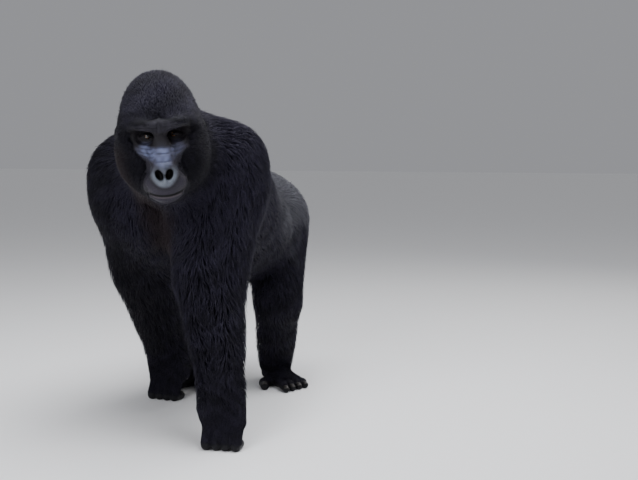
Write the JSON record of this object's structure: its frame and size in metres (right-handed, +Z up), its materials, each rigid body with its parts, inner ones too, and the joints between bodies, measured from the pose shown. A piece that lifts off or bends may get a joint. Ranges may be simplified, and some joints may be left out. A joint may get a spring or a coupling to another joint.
{
  "type": "gorilla",
  "caption": "Life-size still model of a silverback mountain gorilla walking on its knuckles and soles, head turned and looking ahead, for display on a flat floor.",
  "frame": {"origin": "on the ground, under the middle of the model's box", "axes": "+X towards the animal's left, -Y the way it walks, +Z up"},
  "size_m": [0.6554, 1.2708, 1.0888],
  "materials": {
    "black_coat": "long, slightly glossy blue-black hair",
    "silver_coat": "short dense hair, grey over the back and flanks",
    "bare_skin": "bare slate-black skin, finely creased, slightly shiny",
    "eye": "wet dark brown eye"
  },
  "bodies": {
    "root": {"neck": "black_coat", "chest": "black_coat", "belly": "silver_coat", "pelvis": "silver_coat", "eye_left": "eye", "ear_left": "bare_skin", "eye_right": "eye", "ear_right": "bare_skin", "head": "black_coat", "upper_arm_left": "black_coat", "forearm_left": "black_coat", "hand_left": "bare_skin", "thumb_left": "bare_skin", "finger_2_left": "bare_skin", "finger_3_left": "bare_skin", "finger_4_left": "bare_skin", "finger_5_left": "bare_skin", "thigh_left": "black_coat", "lower_leg_left": "black_coat", "foot_left": "bare_skin", "toe_1_left": "bare_skin", "toe_2_left": "bare_skin", "toe_3_left": "bare_skin", "toe_4_left": "bare_skin", "toe_5_left": "bare_skin", "upper_arm_right": "black_coat", "forearm_right": "black_coat", "hand_right": "bare_skin", "thumb_right": "bare_skin", "finger_2_right": "bare_skin", "finger_3_right": "bare_skin", "finger_4_right": "bare_skin", "finger_5_right": "bare_skin", "thigh_right": "black_coat", "lower_leg_right": "black_coat", "foot_right": "bare_skin", "toe_1_right": "bare_skin", "toe_2_right": "bare_skin", "toe_3_right": "bare_skin", "toe_4_right": "bare_skin", "toe_5_right": "bare_skin"}
  },
  "joints": []
}
